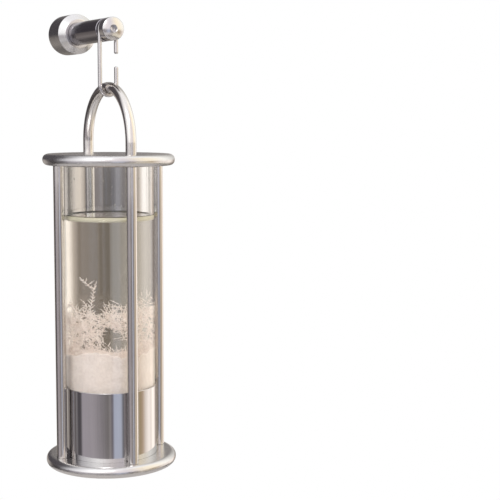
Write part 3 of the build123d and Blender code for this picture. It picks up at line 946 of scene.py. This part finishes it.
    def drawn_stem(self, points: tuple, root: np.ndarray, across: np.ndarray) -> np.ndarray:
        """Draw a stem through points given as sideways and upward distances, one step every 1.2 mm."""
        corners = np.array(points)
        lengths = np.concatenate([[0.0], np.cumsum(np.linalg.norm(np.diff(corners, axis=0), axis=1))])
        places = np.linspace(0.0, lengths[-1], int(lengths[-1] / 0.0012) + 1)
        sideways = np.interp(places, lengths, corners[:, 0])
        upward = np.interp(places, lengths, corners[:, 1])
        return root + across * sideways[:, None] + UPWARD * upward[:, None]

    def inside(self, points: np.ndarray) -> np.ndarray:
        """Draw points that lie outside the clear radius back to it."""
        local = points - np.array([0.0, CAGE_Y, 0.0])
        distance = np.hypot(local[:, 0], local[:, 1])
        local[:, :2] *= np.minimum(1.0, self.clear_r / np.maximum(distance, 1e-9))[:, None]
        return local + np.array([0.0, CAGE_Y, 0.0])

    def root(self, angle: float, distance: float, sink: float = 0.003) -> np.ndarray:
        """Find a frond's root, a little below the bed's top."""
        x, y = distance * np.cos(angle), distance * np.sin(angle)
        return np.array([x, y + CAGE_Y, float(self.bed_top(np.array(x), np.array(y))) - sink])

    def make_needles(self, name: str, grown: list[list[np.ndarray]], finishes: Finishes) -> bpy.types.Object:
        """Join grown needles into one piece that rides on the cage."""
        starts, ends, widths = (np.concatenate(parts) for parts in zip(*grown))
        vertices, faces = needles(self.inside(starts), self.inside(ends), widths)
        piece = put_mesh(name, vertices, faces, finishes.frond, smooth=False)
        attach(piece, self.body.value)
        return piece

    def tall(self, finishes: Finishes) -> bpy.types.Object:
        """Build the forked spray that stands clear of the thicket on the left."""
        rng = np.random.default_rng(self.seed + 2)
        across = self.spot(1.0, 0.0, 0.0) - self.spot(0.0, 0.0, 0.0)
        root = self.spot(*self.spray_root, self.level())
        grown = [
            self.frond(self.drawn_stem(self.spray, root, across), across, 0.0070, rng,
                       self.spray_stoutness),
            self.frond(self.drawn_stem(self.branch, root, across), across, 0.0062, rng,
                       self.spray_stoutness),
        ]
        piece = self.make_needles("tall_fern_crystals", grown, finishes)
        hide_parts("fern_crystals")
        return piece

    def bush(self, centre: np.ndarray, reach: float, rng: np.random.Generator) -> list[list[np.ndarray]]:
        """Grow fronds from one point in all directions, more of them upwards."""
        grown = []
        for _ in range(self.bush_fronds):
            start = centre + rng.normal(0.0, self.bush_scatter, 3)
            heading = rng.normal(0.0, 1.0, 3) + np.array([0.0, 0.0, 0.45])
            heading /= np.linalg.norm(heading)
            across = np.cross(heading, rng.normal(0.0, 1.0, 3))
            across /= np.linalg.norm(across)
            length = reach * rng.uniform(0.8, 1.7)
            count = max(4, int(length / self.stem_step))
            share = np.linspace(0.0, 1.0, count + 1)
            bow = length * rng.uniform(-0.15, 0.15) * np.sin(np.pi * share)
            stem = start + heading * (share * length)[:, None] + across * bow[:, None]
            grown.append(self.frond(stem, across, self.bush_barb * reach, rng, self.bush_stoutness))
        return grown

    def thicket(self, finishes: Finishes, name: str, bushes: tuple, seed: int) -> bpy.types.Object:
        """Build bushes of fronds that hang together over the bed."""
        rng = np.random.default_rng(seed)
        grown = []
        for right, towards, height, reach in bushes:
            centre = self.spot(right * self.clear_r, towards * self.clear_r, self.level() + height)
            grown += self.bush(centre, reach, rng)
        return self.make_needles(name, grown, finishes)

    def shoots(self, finishes: Finishes) -> bpy.types.Object:
        """Build the short fronds that rise from the bed, fewer where the photograph shows a dark hollow."""
        rng = np.random.default_rng(self.seed + 5)
        grown = []
        depth, width = self.hollow
        for _ in range(self.thicket_fronds):
            angle = rng.uniform(0.0, FULL_TURN)
            distance = self.shoot_r * math.sqrt(rng.uniform(0.02, 1.0))
            x, y = distance * math.cos(angle), distance * math.sin(angle)
            right = -x * TO_CAMERA[1] + y * TO_CAMERA[0]
            height = rng.uniform(*self.shoot_heights) * (1.0 - depth * math.exp(-(right ** 2) / width))
            turn, lean = rng.uniform(0.0, 360.0), rng.uniform(-0.9, 0.9)
            stem, sideways = self.straight_stem(self.root(angle, distance), height, turn, lean, rng)
            grown.append(self.frond(stem, sideways, self.shoot_barb, rng))
        return self.make_needles("short_fern_shoots", grown, finishes)

    def felt(self, finishes: Finishes) -> bpy.types.Object:
        """Scatter short needles over the bed's top, leaning every way, so that it ends in a crystal felt."""
        rng = np.random.default_rng(self.seed + 4)
        angle = rng.uniform(0.0, FULL_TURN, self.felt_needles)
        distance = self.felt_r * np.sqrt(rng.uniform(0.0, 1.0, self.felt_needles))
        x, y = distance * np.cos(angle), distance * np.sin(angle)
        starts = np.stack([x, y + CAGE_Y, self.bed_top(x, y) - 0.001], -1)
        lean = rng.normal(0.0, 0.9, (self.felt_needles, 2))
        heading = np.concatenate([lean, np.ones((self.felt_needles, 1))], axis=1)
        heading /= np.linalg.norm(heading, axis=1, keepdims=True)
        ends = starts + heading * rng.uniform(*self.felt_lengths, self.felt_needles)[:, None]
        widths = rng.uniform(*self.felt_halves, self.felt_needles)
        return self.make_needles("crystal_felt", [[starts, ends, widths]], finishes)

    def build(self, finishes: Finishes) -> list[str]:
        """Build the bed, the fronds and the felt and return their names."""
        names = [build_piece(finishes).name for build_piece in (self.bed, self.tall, self.shoots, self.felt)]
        names.append(self.thicket(finishes, "fern_thicket", self.bushes, self.seed + 3).name)
        names.append(self.thicket(finishes, "rear_fern_thicket", self.rear_bushes, self.seed + 6).name)
        return names


@dataclass
class Studio:
    """Floor, soft light and the surroundings that the polished steel shows."""

    floor_z: float = -0.9
    floor_r: float = 1.25
    floor_around: int = 96
    key_place: tuple[float, float, float] = (-0.9, -1.1, 1.1)
    key_aim: tuple[float, float, float] = (0.0, CAGE_Y, -0.15)
    key_size: float = 0.7
    key_watts: float = 9.0
    bands: tuple = (
        (-180.0, (0.28, 0.25, 0.22)), (-150.0, (0.66, 0.60, 0.55)),
        (-140.0, (0.52, 0.47, 0.43)), (-130.0, (0.15, 0.13, 0.13)), (-120.0, (0.06, 0.055, 0.055)),
        (-106.0, (0.05, 0.045, 0.05)), (-102.0, (0.10, 0.09, 0.09)), (-97.0, (0.31, 0.29, 0.30)),
        (-90.0, (0.11, 0.10, 0.11)), (-82.0, (0.12, 0.11, 0.12)),
        (-76.0, (0.49, 0.45, 0.49)),
        (-45.0, (0.47, 0.43, 0.46)), (-25.0, (0.34, 0.31, 0.33)),
        (-8.0, (0.24, 0.22, 0.22)), (-3.0, (0.36, 0.33, 0.33)), (3.0, (0.20, 0.18, 0.21)),
        (8.0, (0.60, 0.64, 0.78)), (24.0, (0.60, 0.64, 0.77)), (30.0, (0.18, 0.17, 0.18)),
        (42.0, (0.25, 0.21, 0.22)), (52.0, (0.73, 0.67, 0.60)), (68.0, (0.70, 0.60, 0.48)),
        (77.0, (0.50, 0.38, 0.23)), (86.0, (0.66, 0.50, 0.36)), (96.0, (1.10, 0.98, 0.88)),
        (111.0, (1.50, 1.38, 1.28)), (119.0, (1.25, 1.12, 1.02)), (129.0, (1.75, 1.60, 1.46)),
        (138.0, (1.45, 1.30, 1.20)), (147.0, (0.66, 0.56, 0.49)), (156.0, (0.30, 0.25, 0.21)),
        (180.0, (0.17, 0.14, 0.11)),
    )
    upper: tuple = (
        (-180.0, (0.30, 0.28, 0.27)), (-160.0, (0.10, 0.09, 0.10)), (-100.0, (0.10, 0.09, 0.10)),
        (-78.0, (1.05, 1.04, 1.08)), (-35.0, (1.75, 1.75, 1.75)), (0.0, (1.30, 1.22, 1.22)),
        (30.0, (1.10, 1.04, 1.10)), (70.0, (1.60, 1.42, 1.08)), (114.0, (1.60, 1.58, 1.50)),
        (180.0, (0.30, 0.28, 0.27)),
    )
    lower: tuple = (
        (-180.0, (0.10, 0.09, 0.09)), (-95.0, (0.10, 0.09, 0.09)), (-70.0, (0.55, 0.53, 0.56)),
        (-35.0, (1.10, 1.08, 1.08)), (0.0, (0.95, 0.90, 0.88)), (30.0, (0.75, 0.68, 0.66)),
        (50.0, (1.15, 1.05, 0.85)), (95.0, (1.30, 1.18, 0.98)), (130.0, (0.80, 0.74, 0.66)),
        (180.0, (0.10, 0.09, 0.09)),
    )
    rear_span: float = math.radians(18.0)
    rear: tuple = (
        (0.0, (0.50, 0.45, 0.42)), (0.13, (0.60, 0.55, 0.51)), (0.23, (1.20, 1.11, 1.06)),
        (0.34, (1.20, 1.11, 1.06)), (0.365, (0.85, 0.76, 0.70)), (0.383, (0.50, 0.43, 0.39)),
        (0.42, (0.40, 0.34, 0.31)), (0.446, (0.25, 0.22, 0.21)), (0.46, (0.19, 0.17, 0.17)),
        (0.468, (0.27, 0.25, 0.26)), (0.482, (0.26, 0.24, 0.25)), (0.486, (0.14, 0.125, 0.125)),
        (0.515, (0.14, 0.125, 0.12)), (0.52, (0.27, 0.24, 0.24)), (0.545, (0.22, 0.19, 0.18)),
        (0.582, (0.18, 0.155, 0.14)), (0.588, (0.50, 0.42, 0.36)), (0.611, (0.82, 0.71, 0.62)),
        (0.653, (0.74, 0.64, 0.56)), (0.70, (0.50, 0.43, 0.38)), (0.74, (0.14, 0.12, 0.11)),
        (1.0, (0.12, 0.10, 0.09)),
    )

    def stops(self, rows: tuple) -> list[tuple]:
        """Turn angles in degrees into places from 0 to 1 on a ramp."""
        return [((angle + 180.0) / 360.0, (*colour, 1.0)) for angle, colour in rows]

    def surroundings(self) -> None:
        """Light the world: bands of tone round the horizon, a bright ceiling, and white to the camera."""
        world = bpy.data.worlds.new("soft_studio")
        bpy.context.scene.world = world
        world.use_nodes = True
        tree = Tree(world.node_tree)
        direction = tree.add("TexCoord").outputs["Generated"]
        parts = tree.add("SeparateXYZ", in_0=direction)
        x, y = parts.outputs[0], parts.outputs[1]
        camera_x, camera_y = TO_CAMERA
        side = tree.math("SUBTRACT", tree.math("MULTIPLY", y, camera_x), tree.math("MULTIPLY", x, camera_y))
        towards = tree.math("ADD", tree.math("MULTIPLY", x, camera_x), tree.math("MULTIPLY", y, camera_y))
        angle = tree.math("ARCTAN2", side, towards)
        place = tree.span(angle, -math.pi, math.pi, 0.0, 1.0)
        horizon = tree.ramp(place, self.stops(self.bands))
        upper = tree.ramp(place, self.stops(self.upper))
        behind = tree.math("ARCTAN2", tree.math("MULTIPLY", side, -1.0), tree.math("MULTIPLY", towards, -1.0))
        straight = tree.ramp(tree.span(behind, -self.rear_span, self.rear_span, 0.0, 1.0),
                             [(share, (*colour, 1.0)) for share, colour in self.rear])
        edge = tree.span(tree.math("ABSOLUTE", behind), self.rear_span * 0.94, self.rear_span, 1.0, 0.0)
        height = parts.outputs[2]
        near = tree.mix(tree.span(height, -0.055, 0.02, 0.0, 1.0), horizon, upper)
        above = tree.math("MULTIPLY", tree.span(height, -0.086, -0.079, 0.0, 1.0),
                          tree.span(height, 0.08, 0.16, 1.0, 0.0))
        near = tree.mix(tree.math("MULTIPLY", edge, above), near, straight)
        lower = tree.ramp(place, self.stops(self.lower))
        near = tree.mix(tree.span(height, -0.40, -0.27, 1.0, 0.0), near, lower)
        overhead = tree.mix(tree.span(height, 0.72, 0.96, 0.0, 1.0), near, (1.35, 1.35, 1.38, 1.0))
        below = tree.mix(tree.span(height, -0.80, -0.50, 1.0, 0.0), overhead, (0.30, 0.28, 0.27, 1.0))
        rays = tree.add("LightPath")
        seen = tree.mix(rays.outputs["Is Camera Ray"], below, WHITE)
        light = tree.add("Background")
        tree.put(light.inputs[0], seen)
        end = tree.add("OutputWorld")
        tree.put(end.inputs[0], light.outputs[0])

    def floor(self) -> None:
        """Lay a round pale floor: a disc of rings, white to the camera and grey in the steel."""
        angles = np.linspace(0.0, FULL_TURN, self.floor_around, endpoint=False)
        rings = np.array([0.2, 0.6, 1.4, self.floor_r])
        points = on_ring(rings[:, None], angles, self.floor_z).reshape(-1, 3)
        points = np.concatenate([points, [[0.0, CAGE_Y, self.floor_z]]])
        step = np.arange(self.floor_around)
        quads = ring_quads(0, self.floor_around, len(rings) - 1)
        fan = np.stack([np.full_like(step, len(points) - 1), step, (step + 1) % self.floor_around], -1)
        material, tree, shader = start_material("pale_floor")
        rays = tree.add("LightPath")
        cloud = tree.noise(tree.add("TexCoord").outputs["Object"], 3.0)
        grey = tree.mix(cloud, (0.56, 0.54, 0.53, 1.0), (0.62, 0.60, 0.59, 1.0))
        grey = tree.mix(rays.outputs["Is Transmission Ray"], grey, (0.22, 0.19, 0.16, 1.0))
        tree.fill(shader, Base_Color=tree.mix(rays.outputs["Is Camera Ray"], grey, WHITE), Roughness=1.0,
                  Specular_IOR_Level=0.0)
        put_mesh("studio_floor", points, [quads, fan], material)

    def lamp(self, name: str, place: tuple, aim: tuple, size: float, watts: float) -> None:
        """Hang one soft square lamp that faces a point."""
        data = bpy.data.lights.new(name, "AREA")
        data.shape = "SQUARE"
        data.size = size
        data.energy = watts
        lamp = bpy.data.objects.new(name, data)
        bpy.context.scene.collection.objects.link(lamp)
        lamp.location = place
        lamp.rotation_euler = (Vector(aim) - Vector(place)).to_track_quat("-Z", "Y").to_euler()

    def build(self) -> None:
        """Set up the world, the floor and the lamps."""
        self.surroundings()
        self.floor()
        self.lamp("soft_key", self.key_place, self.key_aim, self.key_size, self.key_watts)


@dataclass
class Viewpoint:
    """The camera, solved from points of the photograph."""

    place: tuple[float, float, float] = (-0.36249, -0.93017, -0.06561)
    heading: float = 29.895
    down: float = 6.291
    roll: float = 0.209
    lens: float = 86.39

    def build(self) -> None:
        """Stand the camera at its place, looking along its heading."""
        heading, down, roll = (math.radians(v) for v in (self.heading, self.down, self.roll))
        forward = Vector((math.sin(heading) * math.cos(down), math.cos(heading) * math.cos(down),
                          -math.sin(down)))
        level = Vector((math.cos(heading), -math.sin(heading), 0.0))
        upright = level.cross(forward)
        right = level * math.cos(roll) + upright * math.sin(roll)
        top = upright * math.cos(roll) - level * math.sin(roll)
        data = bpy.data.cameras.new("photo_camera")
        data.sensor_width = 36.0
        data.lens = self.lens
        data.clip_start = 0.01
        camera = bpy.data.objects.new("photo_camera", data)
        bpy.context.scene.collection.objects.link(camera)
        turn = Matrix((right, top, -forward)).transposed().to_4x4()
        camera.matrix_world = Matrix.Translation(self.place) @ turn
        bpy.context.scene.camera = camera


def main() -> None:
    """Build every sub-assembly in order and report its pieces."""
    logging.basicConfig(level=logging.INFO, format="%(name)s: %(message)s")
    bpy.context.scene.view_settings.view_transform = "Standard"
    Viewpoint().build()
    Studio().build()
    finishes = Finishes()
    for part in (WallPeg(), OpenLink(), SteelCage(), GlassTube(), CrystalGarden()):
        for name in part.build(finishes):
            log.info("%s rides on %s", name, part.body.value)


if __name__ == "__main__":
    main()
